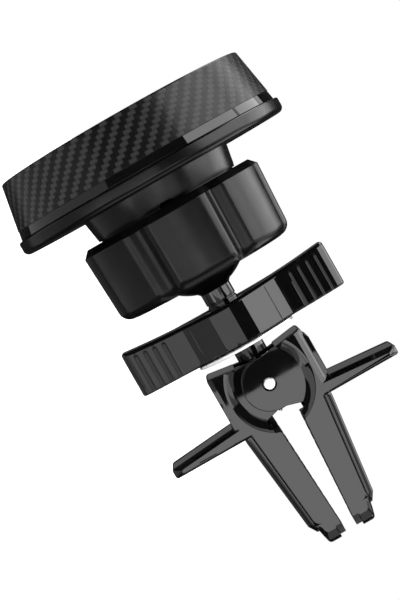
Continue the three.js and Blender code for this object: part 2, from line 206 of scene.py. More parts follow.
def rounded(corners, steps=5, closed=True):
    """Corners (a, b, radius) as points; a corner with a radius becomes an arc of that many steps."""
    count = len(corners)
    points = []
    for i, (a, b, radius) in enumerate(corners):
        here = Vector((a, b))
        if radius == 0 or (not closed and i in (0, count - 1)):
            points.append((a, b))
            continue
        back = (Vector(corners[i - 1][:2]) - here).normalized()
        ahead = (Vector(corners[(i + 1) % count][:2]) - here).normalized()
        half = back.angle(ahead) / 2
        centre = here + (back + ahead).normalized() * (radius / math.sin(half))
        start = here + back * (radius / math.tan(half)) - centre
        end = here + ahead * (radius / math.tan(half)) - centre
        sweep = start.angle_signed(end)
        for k in range(steps + 1):
            turned = start.copy()
            turned.rotate(Matrix.Rotation(-sweep * k / steps, 2))
            points.append(tuple(centre + turned))
    return points


def lathe(name, profile, sides=SIDES):
    """A body turned about the Y axis from (radius, y) pairs that close on the axis or on themselves."""
    vertices = []
    rings = []
    for radius, y in profile:
        first = len(vertices)
        if radius < 1e-6:
            vertices.append((0, y, 0))
            rings.append([first])
            continue
        for k in range(sides):
            angle = 2 * math.pi * k / sides
            vertices.append((radius * math.cos(angle), y, radius * math.sin(angle)))
        rings.append(list(range(first, first + sides)))
    pairs = list(zip(rings, rings[1:]))
    if len(rings[0]) > 1 and len(rings[-1]) > 1:
        pairs.append((rings[-1], rings[0]))
    faces = []
    for a, b in pairs:
        for k in range(sides):
            m = (k + 1) % sides
            corners = [a[k % len(a)], a[m % len(a)], b[m % len(b)], b[k % len(b)]]
            faces.append(list(dict.fromkeys(corners)))
    return link(name, vertices, faces)


def loft(name, sections):
    """A body through (x, outline) sections; the outlines are (z, y) pairs with equal counts."""
    count = len(sections[0][1])
    vertices = [(x, y, z) for x, outline in sections for z, y in outline]
    faces = []
    for s in range(len(sections) - 1):
        a, b = s * count, (s + 1) * count
        for k in range(count):
            m = (k + 1) % count
            faces.append((a + k, a + m, b + m, b + k))
    faces.append(tuple(range(count)))
    faces.append(tuple(range(len(vertices) - count, len(vertices))))
    return link(name, vertices, faces)


def inset(outline, distance):
    """The outline moved inwards along its corners' bisectors."""
    count = len(outline)
    area = sum(outline[i - 1][0] * outline[i][1] - outline[i][0] * outline[i - 1][1] for i in range(count))
    side = 1 if area > 0 else -1
    moved = []
    for i in range(count):
        here = Vector(outline[i])
        back = (here - Vector(outline[i - 1])).normalized()
        ahead = (Vector(outline[(i + 1) % count]) - here).normalized()
        normal = (back + ahead).normalized().orthogonal() * side
        stretch = max(0.3, normal.dot(back.orthogonal() * side))
        moved.append(tuple(here + normal * (distance / stretch)))
    return moved


def prism(name, outline, x0, x1, edge=0.0, steps=3):
    """An outline of (z, y) pairs carried along X, with its end edges rounded."""
    if edge == 0:
        return loft(name, [(x0, outline), (x1, outline)])
    turns = [math.pi / 2 * k / steps for k in range(steps + 1)]
    rims = [(edge * (1 - math.sin(t)), edge * (1 - math.cos(t))) for t in turns]
    first = [(x0 + depth, inset(outline, shrink)) for depth, shrink in reversed(rims)]
    second = [(x1 - depth, inset(outline, shrink)) for depth, shrink in rims]
    return loft(name, first + second)


def pivot_disc(radius, sides=96):
    """A circle round the pivot as an outline."""
    angles = [2 * math.pi * k / sides for k in range(sides)]
    return [(radius * math.sin(t), PIVOT_Y + radius * math.cos(t)) for t in angles]


def axle(name, radius0, radius1, x0, x1, sides=96):
    """A cylinder or cone along X, centred on the pivot."""
    return loft(name, [(x0, pivot_disc(radius0, sides)), (x1, pivot_disc(radius1, sides))])


def box(name, x0, x1, y0, y1, z0, z1):
    return prism(name, [(z0, y0), (z1, y0), (z1, y1), (z0, y1)], x0, x1)


def settle(piece):
    """Applies the piece's modifiers."""
    graph = bpy.context.evaluated_depsgraph_get()
    mesh = bpy.data.meshes.new_from_object(piece.evaluated_get(graph))
    piece.modifiers.clear()
    piece.data = mesh


def combine(piece, tools, operation):
    for tool in tools:
        modifier = piece.modifiers.new("Boolean", "BOOLEAN")
        modifier.operation = operation
        modifier.solver = "EXACT"
        modifier.object = tool
    settle(piece)
    for tool in tools:
        bpy.data.objects.remove(tool)
    return piece


def cut(piece, *tools):
    return combine(piece, tools, "DIFFERENCE")


def unite(piece, *tools):
    return combine(piece, tools, "UNION")


def turn_over(piece):
    """Turns a piece half a turn about Y, from the upper jaw's side to the lower jaw's."""
    piece.data.transform(Matrix.Rotation(math.pi, 4, "Y"))


def place(piece, body, slot, materials, *nodes, sharp=28, weight=100):
    """Scales a finished piece to metres, shades it and hands it to the frame."""
    piece.data.transform(Matrix.Diagonal((MM, MM, MM, 1)))
    piece.data.materials.clear()
    for material in materials:
        piece.data.materials.append(material)
    piece.data.shade_smooth()
    piece.data.set_sharp_from_angle(angle=math.radians(sharp))
    modifier = piece.modifiers.new("Weighted normals", "WEIGHTED_NORMAL")
    modifier.keep_sharp = True
    modifier.weight = weight
    settle(piece)
    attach(piece, body)
    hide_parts(*nodes)


# ---- Materials ----


class Nodes:
    """A small helper that adds and joins a material's nodes."""

    def __init__(self, name):
        self.material = bpy.data.materials.new(name)
        self.material.use_nodes = True
        self.tree = self.material.node_tree
        self.shader = self.tree.nodes["Principled BSDF"]
        self.place = self.add("ShaderNodeTexCoord").outputs["Object"]

    def add(self, kind, **values):
        node = self.tree.nodes.new(kind)
        for key, value in values.items():
            setattr(node, key, value)
        return node

    def join(self, output, socket):
        self.tree.links.new(output, socket)

    def math(self, operation, a, b=0.0, c=0.0):
        node = self.add("ShaderNodeMath", operation=operation)
        for socket, value in zip(node.inputs, (a, b, c)):
            if isinstance(value, (int, float)):
                socket.default_value = value
            else:
                self.join(value, socket)
        return node.outputs[0]

    def noise(self, size, detail=2.0, stretch=(1, 1, 1)):
        """Noise with features of about that size in millimetres."""
        mapping = self.add("ShaderNodeMapping")
        mapping.inputs["Scale"].default_value = [s / (size * MM) for s in stretch]
        self.join(self.place, mapping.inputs["Vector"])
        node = self.add("ShaderNodeTexNoise")
        node.inputs["Scale"].default_value = 1.0
        node.inputs["Detail"].default_value = detail
        self.join(mapping.outputs["Vector"], node.inputs["Vector"])
        return node.outputs["Fac"]

    def spread(self, value, low_value, high_value, start=0.3, end=0.7):
        node = self.add("ShaderNodeMapRange")
        node.inputs["From Min"].default_value = start
        node.inputs["From Max"].default_value = end
        node.inputs["To Min"].default_value = low_value
        node.inputs["To Max"].default_value = high_value
        self.join(value, node.inputs["Value"])
        return node.outputs["Result"]

    def tint(self, value, dark, light):
        node = self.add("ShaderNodeMix", data_type="RGBA")
        node.inputs["A"].default_value = (*dark, 1)
        node.inputs["B"].default_value = (*light, 1)
        self.join(value, node.inputs["Factor"])
        return node.outputs["Result"]

    def relief(self, height, depth, strength):
        """A bump of that depth in millimetres."""
        node = self.add("ShaderNodeBump")
        node.inputs["Distance"].default_value = depth * MM
        node.inputs["Strength"].default_value = strength
        self.join(height, node.inputs["Height"])
        return node.outputs["Normal"]

    def tow_height(self, beside, end):
        """A tow's rounded height from the signed way to its side and the way to its end, 1 at the edges."""
        side_fall = self.math("SUBTRACT", 1, self.math("POWER", self.math("ABSOLUTE", beside), 5))
        end_fall = self.math("SUBTRACT", 1, self.math("POWER", end, 10))
        return self.math("MAXIMUM", self.math("MULTIPLY", side_fall, end_fall), 0)

    def set(self, **values):
        for key, value in values.items():
            self.shader.inputs[key.replace("_", " ")].default_value = value

    def colour(self, output):
        self.join(output, self.shader.inputs["Base Color"])

    def rough(self, output):
        self.join(output, self.shader.inputs["Roughness"])

    def bump(self, output):
        self.join(output, self.shader.inputs["Normal"])


def grey(value):
    """A grey with a trace of blue."""
    return (value, value, value * 1.03)


def moulded(name, dark, light, smooth, rough, grain, ior=1.5):
    """Injection-moulded plastic: a faint flow pattern, uneven gloss and a fine skin."""
    n = Nodes(name)
    n.set(IOR=ior)
    flow = n.noise(6, 3)
    n.colour(n.tint(n.spread(flow, 0, 1), grey(dark), grey(light)))
    n.rough(n.spread(n.noise(2.2, 4), smooth, rough))
    n.bump(n.relief(n.noise(0.16, 2), grain, 0.5))
    return n.material


def twill(n):
    """A two-over-two twill round the Y axis: where the weft is on top, and the tows' height."""
    split = n.add("ShaderNodeSeparateXYZ")
    n.join(n.place, split.inputs[0])
    turn = n.math("ARCTAN2", split.outputs["Z"], split.outputs["X"])
    across = n.math("MULTIPLY_ADD", turn, WEAVE_CELLS / (2 * math.pi), WEAVE_SHIFT)
    along = n.math("MULTIPLY_ADD", split.outputs["Y"], 1 / (WEAVE_CELL * MM), -BAND_Y / WEAVE_CELL)
    column = n.math("FLOOR", across)
    row = n.math("FLOOR", along)
    step = n.math("WRAP", n.math("ADD", column, row), 4, 0)
    weft = n.math("GREATER_THAN", step, 1.5)
    part_across = n.math("SUBTRACT", across, column)
    part_along = n.math("SUBTRACT", along, row)
    beside_warp = n.math("MULTIPLY", n.math("SUBTRACT", part_across, 0.5), 2)
    beside_weft = n.math("MULTIPLY", n.math("SUBTRACT", part_along, 0.5), 2)
    end_warp = n.math("ABSOLUTE", n.math("SUBTRACT", n.math("ADD", step, part_along), 1))
    end_weft = n.math("ABSOLUTE", n.math("SUBTRACT", n.math("ADD", step, part_across), 3))
    height = n.add("ShaderNodeMix", data_type="FLOAT")
    n.join(weft, height.inputs["Factor"])
    n.join(n.tow_height(beside_warp, end_warp), height.inputs["A"])
    n.join(n.tow_height(beside_weft, end_weft), height.inputs["B"])
    return weft, height.outputs["Result"]


def weave_material():
    """Printed carbon weave: flat tows with fine fibres under a clear skin, with painted shade darkening each
    tow towards its edges and ends.
    """
    n = Nodes("carbon_weave")
    weft, height = twill(n)
    fibres = n.noise(0.05, 2)
    # Both tones are multiplied by the tow height: painted shade at the tows' edges and ends, laid over the
    # printed twill tones.
    light = n.tint(n.math("MULTIPLY", height, n.spread(fibres, 0.75, 1.0)), grey(0.006), grey(0.0175))
    dark = n.tint(n.math("MULTIPLY", height, n.spread(fibres, 0.6, 1.0)), grey(0.0015), grey(0.003))
    mixed = n.add("ShaderNodeMix", data_type="RGBA")
    n.join(weft, mixed.inputs["Factor"])
    n.join(dark, mixed.inputs["A"])
    n.join(light, mixed.inputs["B"])
    n.colour(mixed.outputs["Result"])
    n.rough(n.spread(n.noise(1.5, 3), 0.3, 0.4))
    n.bump(n.relief(height, 0.02, 0.35))
    n.set(IOR=1.28, Coat_Weight=0.1, Coat_Roughness=0.12)
    return n.material


def rubber(name, tone, rough):
    n = Nodes(name)
    n.set(IOR=1.45)
    dust = n.noise(1.1, 5)
    n.colour(n.tint(n.spread(dust, 0, 1), grey(tone), grey(tone * 1.5)))
    n.rough(n.spread(n.noise(0.8, 3), rough - 0.08, rough + 0.08))
    n.bump(n.relief(n.noise(0.09, 3), 0.01, 0.8))
    return n.material


def metal(name, tone, rough, brushed, share=1.0):
    """Turned or drawn metal with fine machining lines round or along the Y axis."""
    n = Nodes(name)
    n.set(Metallic=share)
    lines = n.noise(0.12, 3, brushed)
    n.colour(n.tint(n.spread(lines, 0, 1), grey(tone * 0.88), grey(tone)))
    n.rough(n.spread(n.noise(0.9, 3), rough * 0.8, rough * 1.25))
    n.bump(n.relief(lines, 0.004, 0.5))
    return n.material


MATERIALS = {
    "shine": moulded("polished_black", 0.001, 0.0018, 0.012, 0.026, 0.00015),
    "soft": moulded("soft_black", 0.001, 0.002, 0.19, 0.26, 0.002, 1.36),
    "satin": moulded("satin_black", 0.0012, 0.0024, 0.2, 0.27, 0.002, 1.34),
    "weave": weave_material(),
    "rubber": rubber("soft_rubber", 0.012, 0.7),
    "grip": rubber("grip_rubber", 0.01, 0.55),
    "inner": moulded("inner_plastic", 0.03, 0.05, 0.4, 0.5, 0.004),
    "nylon": moulded("nylon", 0.012, 0.02, 0.35, 0.45, 0.004, 1.45),
    "steel": metal("polished_steel", 0.86, 0.16, (1, 6, 1)),
    "washer": metal("satin_steel", 0.92, 0.3, (1, 6, 1), 0.75),
    "spring": metal("spring_steel", 0.55, 0.25, (1, 4, 4)),
    "plated": metal("plated_steel", 0.7, 0.35, (2, 1, 2)),
    "nickel": metal("magnet_nickel", 0.78, 0.22, (1, 3, 1)),
    "screw": metal("black_screw", 0.05, 0.3, (1, 3, 1)),
}


# ---- Magnetic head ----


def make_face_pad():
    """Rubber disc with a soft edge and two shallow rings."""
    corners = [(0, FACE_Y, 0)]
    for ring in PAD_RINGS:
        groove_y = FACE_Y + 0.25
        corners += [(ring - 0.35, FACE_Y, 0.1), (ring - 0.15, groove_y, 0.08),
                    (ring + 0.15, groove_y, 0.08), (ring + 0.35, FACE_Y, 0.1)]
    corners += [(PAD_R, FACE_Y, 0.35), (PAD_R, PAD_BACK_Y, 0), (0, PAD_BACK_Y, 0)]
    pad = lathe("phone_face_pad", rounded(corners, closed=False))
    place(pad, "head", "soft_rubber", [MATERIALS["rubber"]], "face_pad")


def wall_radius(y):
    return FACE_R + (SHELL_R - FACE_R) * (y - FACE_Y) / (SHELL_BACK_Y - FACE_Y)


def is_woven(polygon):
    """Whether a face of the shell lies on the outside of its wall, above the band."""
    radius = math.hypot(polygon.center.x, polygon.center.z)
    outside = radius > max(PAD_R + 0.5, BORE_BACK_R - 0.4) and polygon.normal.y > -0.7
    return outside and polygon.center.y < BAND_Y


def make_shell():
    """Cup whose woven wall ends a hair above the smooth band."""
    front = FACE_Y + 0.08
    web_front = PAD_BACK_Y + 0.05
    corners = [(0, web_front, 0), (PAD_R + 0.1, web_front, 0), (PAD_R + 0.1, front, 0.12),
               (wall_radius(front), front, 0.32), (wall_radius(BAND_Y), BAND_Y, 0.03),
               (wall_radius(BAND_Y) - BAND_STEP, BAND_Y + 0.05, 0.03),
               (SHELL_R - BAND_STEP, SHELL_BACK_Y, 0.1), (BORE_BACK_R, SHELL_BACK_Y, 0),
               (BORE_R, WEB_BACK_Y, 0), (0, WEB_BACK_Y, 0)]
    shell = lathe("carbon_head_shell", rounded(corners, closed=False), 2 * SIDES)
    woven = [is_woven(polygon) for polygon in shell.data.polygons]
    place(shell, "head", "carbon_weave", [MATERIALS["shine"], MATERIALS["weave"]], "head_shell")
    for polygon, weave in zip(shell.data.polygons, woven):
        polygon.material_index = int(weave)


def screw_places():
    """The centres of the three cover screws as (x, z)."""
    places = []
    for i in (1, 2, 3):
        middle = (low(f"cover_screw_{i}") + high(f"cover_screw_{i}")) / 2
        places.append((middle.x, middle.z))
    return places


def post(name, profile, x, z, sides=48):
    piece = lathe(name, profile, sides)
    piece.data.transform(Matrix.Translation((x, 0, z)))
    return piece


def make_cover():
    """Back plate: raised rim, a shallow step in its back and three screw seats."""
    inner = COLLAR_TOP_R + 0.1
    spigot_y = RIM_TOP_Y - SPIGOT_DEPTH
    spigot_in, spigot_out = BORE_R - 0.2, BORE_BACK_R - 0.45
    floor_y = RIM_BOTTOM_Y - COVER_STEP
    corners = [(inner, RIM_TOP_Y, 0.05), (spigot_in, RIM_TOP_Y, 0), (spigot_in, spigot_y, 0.2),
               (spigot_out, spigot_y, 0.2), (spigot_out, RIM_TOP_Y, 0), (RIM_R, RIM_TOP_Y, 0.28),
               (RIM_R, RIM_BOTTOM_Y - 0.05, 0.85), (19.4, RIM_BOTTOM_Y, 0.1), (19.2, floor_y, 0.08),
               (13.3, floor_y, 0.08), (13.1, RIM_BOTTOM_Y, 0.1), (inner, RIM_BOTTOM_Y, 0.12)]
    cover = lathe("rear_cover_rim", rounded(corners))
    tools = []
    for x, z in screw_places():
        seat = [(0, spigot_y - 1, 0), (0.95, spigot_y - 1, 0), (0.95, RIM_BOTTOM_Y - 1.1, 0),
                (1.65, RIM_BOTTOM_Y - 1.1, 0), (1.65, RIM_BOTTOM_Y - 0.33, 0), (2.2, RIM_BOTTOM_Y + 0.4, 0),
                (0, RIM_BOTTOM_Y + 0.4, 0)]
        tools.append(post("seat", rounded(seat, closed=False), x, z))
    cut(cover, *tools)
    place(cover, "head", "gloss_black", [MATERIALS["soft"]], "rear_cover")


def make_screws():
    """Black screws with a low head and a cross recess."""
    top = high("cover_screw_1").y
    end = low("cover_screw_1").y
    for i, (x, z) in enumerate(screw_places(), start=1):
        corners = [(0, top - 0.02, 0), (1.1, top - 0.02, 0.3), (1.5, top - 0.25, 0.15),
                   (1.5, top - 0.95, 0.05), (0.8, top - 0.95, 0.05), (0.8, end + 0.4, 0.1), (0.4, end, 0.1),
                   (0, end, 0)]
        screw = post("screw", rounded(corners, closed=False), x, z)
        recess = top - 0.55
        arms = []
        for half_x, half_z in ((0.17, 0.85), (0.85, 0.17)):
            arms.append(box("arm", x - half_x, x + half_x, recess, top + 1, z - half_z, z + half_z))
        cut(screw, *arms)
        screw.name = f"cross_screw_{i}"
        place(screw, "head", "black_screw", [MATERIALS["screw"]], f"cover_screw_{i}")


def make_socket():
    """Collar with a tapered waist, a lip, a threaded skirt and split fingers round the ball."""
    lip_angle = math.acos((BALL_Y - FINGER_TIP_Y) / CAVITY_R)
    cavity = [(CAVITY_R * math.sin(lip_angle * k / 24), BALL_Y - CAVITY_R * math.cos(lip_angle * k / 24))
              for k in range(24, -1, -1)]
    back = RIM_TOP_Y - 0.05
    corners = [(0, FLANGE_Y, 0), (FLANGE_R, FLANGE_Y, 0.2), (FLANGE_R, back, 0), (COLLAR_TOP_R, back, 0),
               (COLLAR_TOP_R, RIM_BOTTOM_Y, 0), (COLLAR_LOW_R, NUT_TOP_Y - 0.12, 0.08),
               (THREAD_R, NUT_TOP_Y - 0.1, 0)]
    pitch = 1.0
    y = NUT_TOP_Y + 0.2
    while y + pitch < BALL_Y - 0.4:
        corners += [(THREAD_R, y, 0), (THREAD_R - 0.3, y + 0.35, 0.05), (THREAD_R, y + 0.7, 0)]
        y += pitch
    corners += [(10.9, BALL_Y + 1, 0), (9.9, FINGER_TIP_Y, 0)]
    profile = rounded(corners, 4, closed=False) + cavity
    socket = lathe("ball_socket_collar", profile)
    tools = []
    for quarter in range(4):
        wide = SLOT_WIDTH / 2
        top = NUT_TOP_Y - 0.62
        outline = [(-wide, FINGER_TIP_Y + 1), (-wide, top + 0.45), (-wide + 0.3, top), (wide - 0.3, top),
                   (wide, top + 0.45), (wide, FINGER_TIP_Y + 1)]
        slot = loft("slot", [(7, outline), (13, outline)])
        slot.data.transform(Matrix.Rotation(quarter * math.pi / 2, 4, "Y"))
        tools.append(slot)
    cut(socket, *tools)
    place(socket, "head", "gloss_black", [MATERIALS["soft"]], "ball_socket")


# ---- Ball joint ----


def cap(name, outer, inner, start, end, steps=16):
    """Part of a thin ball shell between two angles from the phone's side."""
    turns = [math.radians(start + (end - start) * k / steps) for k in range(steps + 1)]
    outside = [(outer * math.sin(t), BALL_Y - outer * math.cos(t)) for t in turns]
    inside = [(inner * math.sin(t), BALL_Y - inner * math.cos(t)) for t in reversed(turns)]
    return lathe(name, outside + inside, 96)


def make_liners():
    pad = cap("nylon_seat_pad", LINER_OUT_R, LINER_IN_R, 0, 28)
    place(pad, "seat", "nylon", [MATERIALS["nylon"]], "seat_pad")
    liner = cap("nylon_ball_liner", LINER_OUT_R, LINER_IN_R, 50, 119)
    place(liner, "liner", "nylon", [MATERIALS["nylon"]], "ball_liner")
    y0, y1 = low("compression_ring").y, high("compression_ring").y
    outer = high("compression_ring").z
    corners = [(11.0, y0, 0.08), (outer, y0, 0.15), (outer, y1, 0.15), (10.2, y1, 0.08)]
    ring = lathe("nylon_squeeze_ring", rounded(corners), 96)
    place(ring, "squeeze", "nylon", [MATERIALS["nylon"]], "compression_ring")


def flute_radius(angle, radius):
    """The nut's radius at an angle: the drum's, less a rounded flute that fades out towards the ends."""
    pitch = 360 / FLUTES
    off = math.radians((math.degrees(angle) - FLUTE_PHASE + pitch / 2) % pitch - pitch / 2)
    beside = min(1.0, abs(NUT_R * math.sin(off)) / FLUTE_HALF)
    share = min(1.0, max(0.0, (radius - FLUTE_START_R) / FLUTE_FADE))
    return radius - FLUTE_DEPTH * share * (0.5 + 0.5 * math.cos(math.pi * beside)) ** FLUTE_SHARPNESS


def make_nut():
    """Seven-lobed nut: fluted drum with a chamfer, a rounded foot and its inner pocket."""
    outer = rounded([(NUT_BORE_R + 0.3, NUT_TOP_Y, 0), (NUT_R - 1.03, NUT_TOP_Y, 0.2),
                     (NUT_R, NUT_TOP_Y + 1.1, 0.25), (NUT_LOW_R, NUT_BOTTOM_Y, 1.75),
                     (NUT_MOUTH_R + 0.3, NUT_BOTTOM_Y, 0)], 6, closed=False)
    inner = rounded([(NUT_MOUTH_R, NUT_BOTTOM_Y - 0.3, 0), (NUT_MOUTH_R, NUT_FLOOR_Y, 0.1),
                     (NUT_POCKET_R, NUT_FLOOR_Y, 0.2), (NUT_POCKET_R, NUT_POCKET_Y, 0.1),
                     (NUT_BORE_R, NUT_POCKET_Y, 0.1), (NUT_BORE_R, NUT_TOP_Y + 0.3, 0)], 3, closed=False)
    sides = FLUTES * 60
    vertices = []
    rows = [(r, y, True) for r, y in outer] + [(r, y, False) for r, y in inner]
    for radius, y, fluted in rows:
        for k in range(sides):
            angle = 2 * math.pi * k / sides
            r = flute_radius(angle, radius) if fluted else radius
            vertices.append((r * math.cos(angle), y, r * math.sin(angle)))
    faces = []
    for i in range(len(rows)):
        a, b = i * sides, (i + 1) % len(rows) * sides
        for k in range(sides):
            m = (k + 1) % sides
            faces.append((a + k, a + m, b + m, b + k))
    nut = link("lobed_lock_nut", vertices, faces)
    place(nut, "nut", "satin_black", [MATERIALS["satin"]], "lock_nut", weight=50)


def make_stud():
    """Ball, waisted neck with a ring groove, rod and flat tongue with an eye."""
    neck_angle = math.pi - math.asin((ROD_R + 0.35) / BALL_R)
    ball = [(BALL_R * math.sin(neck_angle * k / 40), BALL_Y - BALL_R * math.cos(neck_angle * k / 40))
            for k in range(41)]
    neck_y = ball[-1][1]
    rod_end = PIVOT_Y - 3.4
    rod = rounded([(ROD_R + 0.35, neck_y, 0), (ROD_R, neck_y + 0.4, 0.3), (ROD_R, ROD_GROOVE_Y - 0.18, 0.05),
                   (ROD_R - 0.16, ROD_GROOVE_Y - 0.08, 0.03), (ROD_R - 0.16, ROD_GROOVE_Y + 0.08, 0.03),
                   (ROD_R, ROD_GROOVE_Y + 0.18, 0.05), (ROD_R, rod_end - 0.35, 0.08),
                   (ROD_R - 0.3, rod_end, 0.08), (0, rod_end, 0)], 4, closed=False)
    stud = lathe("ball_and_rod", [(0, ball[0][1])] + ball[1:] + rod[1:], 96)
    turns = [math.pi * k / 24 for k in range(25)]
    end = [(TONGUE_R * math.cos(t), PIVOT_Y + TONGUE_R * math.sin(t)) for t in turns]
    outline = [(-TONGUE_R, rod_end - 1), (TONGUE_R, rod_end - 1)] + end
    tongue = prism("tongue", outline, -TONGUE_HALF, TONGUE_HALF, 0.12)
    unite(stud, tongue)
    cut(stud, axle("eye", EYE_R, EYE_R, -3, 3, 48))
    place(stud, "root", "gloss_black", [MATERIALS["shine"]], "ball_stud")


# ---- Clamp wheel ----


def smooth_between(keys, at):
    """A smooth curve through (position, value) keys."""
    for i in range(len(keys) - 1):
        x0, y0 = keys[i]
        x1, y1 = keys[i + 1]
        if at <= x1:
            before = keys[max(i - 1, 0)]
            after = keys[min(i + 2, len(keys) - 1)]
            slope0 = (y1 - before[1]) / (x1 - before[0])
            slope1 = (after[1] - y0) / (after[0] - x0)
            t = (at - x0) / (x1 - x0)
            span = x1 - x0
            return ((2 * t ** 3 - 3 * t ** 2 + 1) * y0 + (t ** 3 - 2 * t ** 2 + t) * slope0 * span
                    + (3 * t ** 2 - 2 * t ** 3) * y1 + (t ** 3 - t ** 2) * slope1 * span)
    return keys[-1][1]


HUB_KEYS = [(-1.25, 6.18), (0, 6.3), (1.25, 6.18), (2.5, 5.8), (4, 5.08), (6, 4.08), (7.5, 3.38), (8.5, 2.98)]
WING_ROOT_Z = 8.5
WING_ROOT = 2.98
WING_TIP = 2.55
END_KEYS = [(-WHEEL_END, 0.0), (-1.1, 0.04), (-0.65, 0.24), (-0.3, 0.48), (-0.07, 0.9), (0, 1.3)]


def wheel_width(z):
    """Half the wheel's width along X at a distance from its middle."""
    far = abs(z)
    if far < WING_ROOT_Z:
        return smooth_between(HUB_KEYS, far)
    width = WING_ROOT + (WING_TIP - WING_ROOT) * (far - WING_ROOT_Z) / (WHEEL_HALF - WING_ROOT_Z)
    if far < WHEEL_HALF - WHEEL_END:
        return width
    return width - smooth_between(END_KEYS, far - WHEEL_HALF)


def wheel_top(z):
    """The sagging top edge's height along Y."""
    return WHEEL_TOP_Y + WHEEL_SAG * (1 - (z / WHEEL_HALF) ** 2)


def wheel_stations():
    """Distances along Z of the wheel's sections, close together at its ends."""
    steps = 12
    ends = [-WHEEL_HALF + WHEEL_END * (1 - math.cos(math.pi / 2 * k / steps)) for k in range(steps + 1)]
    inner = WHEEL_HALF - WHEEL_END
    count = 96
    between = [-inner + 2 * inner * k / count for k in range(1, count)]
    stations = ends + between + [-WING_ROOT_Z, WING_ROOT_Z] + [-z for z in ends]
    return sorted(set(round(z, 6) for z in stations))


def wheel_section(z):
    """The wheel's outline at a station as (x, y) pairs, bevelled at its top and rounded at its foot."""
    wide = wheel_width(z)
    into = max(0.0, abs(z) - WHEEL_HALF + WHEEL_CORNER) / WHEEL_CORNER
    drop = WHEEL_CORNER * (1 - math.sqrt(max(0.0, 1 - into ** 2)))
    top = wheel_top(z) + drop
    bottom = WHEEL_BOTTOM_Y - WHEEL_BELLY * (z / WHEEL_HALF) ** 2 - 0.4 * drop
    feet = rounded([(-wide, top, 0), (wide, top, 0), (wide, bottom, 0.28), (-wide, bottom, 0.28)], 4)[2:]
    bevel = [(wide - 0.5, top), (wide - 0.38, top + 0.05), (wide - 0.05, top + 0.45), (wide, top + 0.58)]
    return bevel + feet + [(-x, y) for x, y in reversed(bevel)]


def make_wheel():
    """Wing nut: a hub that flows into two wings, a sagging top edge, grip grooves and a bore."""
    stations = wheel_stations()
    sections = [wheel_section(z) for z in stations]
    ring = len(sections[0])
    vertices = [(x, y, z) for z, section in zip(stations, sections) for x, y in section]
    faces = []
    for s in range(len(stations) - 1):
        a, b = s * ring, (s + 1) * ring
        faces += [(a + k, a + (k + 1) % ring, b + (k + 1) % ring, b + k) for k in range(ring)]
    faces.append(tuple(range(ring)))
    faces.append(tuple(range(len(vertices) - ring, len(vertices))))
    wheel = link("ribbed_clamp_wheel", vertices, faces)
    hub_top = WHEEL_TOP_Y + WHEEL_SAG
    bore = rounded([(0, WHEEL_TOP_Y - 1, 0), (3.15, WHEEL_TOP_Y - 1, 0), (3.15, hub_top - 0.2, 0),
                    (WHEEL_BORE_R, hub_top + 0.35, 0), (WHEEL_BORE_R, WHEEL_BOTTOM_Y - 0.3, 0),
                    (WHEEL_BORE_R + 0.6, WHEEL_BOTTOM_Y + 0.3, 0), (0, WHEEL_BOTTOM_Y + 0.3, 0)],
                   closed=False)
    cut(wheel, groove_tool(), lathe("bore", bore, 96))
    place(wheel, "wheel", "satin_black", [MATERIALS["shine"]], "clamp_wheel")


def groove_tool():
    """All the wheel's grip grooves and its two hub lines as one cutter."""
    work = bmesh.new()
    for side in (-1, 1):
        for wing in (-1, 1):
            for z in GROOVES_Z:
                add_groove(work, side * (wheel_width(z) + 0.06), wing * z, GROOVE_R)
            add_groove(work, side * wheel_width(HUB_LINE_Z), wing * HUB_LINE_Z, HUB_LINE_R)
    return add_work("grooves", work)


def add_groove(work, x, z, radius, sides=20):
    """A round-topped post that starts under the wheel's top edge."""
    top = wheel_top(z) + 0.75
    rings = [(radius * math.sin(t), top + 1.6 * radius * (1 - math.cos(t)))
             for t in (math.pi / 2 * k / 5 for k in range(1, 6))]
    rings.append((radius, WHEEL_BOTTOM_Y + 1))
    made = []
    for r, y in rings:
        turns = [2 * math.pi * k / sides for k in range(sides)]
        made.append([work.verts.new((x + r * math.cos(t), y, z + r * math.sin(t))) for t in turns])
    tip = work.verts.new((x, top, z))
    foot = work.verts.new((x, WHEEL_BOTTOM_Y + 1, z))
    for k in range(sides):
        m = (k + 1) % sides
        work.faces.new((tip, made[0][k], made[0][m]))
        work.faces.new((foot, made[-1][m], made[-1][k]))
        for a, b in zip(made, made[1:]):
            work.faces.new((a[m], a[k], b[k], b[m]))
    bmesh.ops.recalc_face_normals(work, faces=work.faces)


def make_washer():
    y0, y1 = low("thrust_washer").y, high("thrust_washer").y
    outer = high("thrust_washer").z
    corners = [(WHEEL_BORE_R, y0, 0.06), (outer, y0, 0.08), (outer, y1, 0.08), (WHEEL_BORE_R, y1, 0.06)]
    washer = lathe("polished_washer", rounded(corners, 3))
    place(washer, "washer", "polished_steel", [MATERIALS["washer"]], "thrust_washer")


# ---- Louver clip ----


def grip_face(y):
    """Height of a grip pad's inner face at a station along Y."""
    return GRIP_TOP_Z + (GRIP_TIP_Z - GRIP_TOP_Z) * (y - GRIP_TOP_Y) / (GRIP_TIP_Y - GRIP_TOP_Y)


def vee(z):
    return VEE_Y + VEE_SLOPE * z


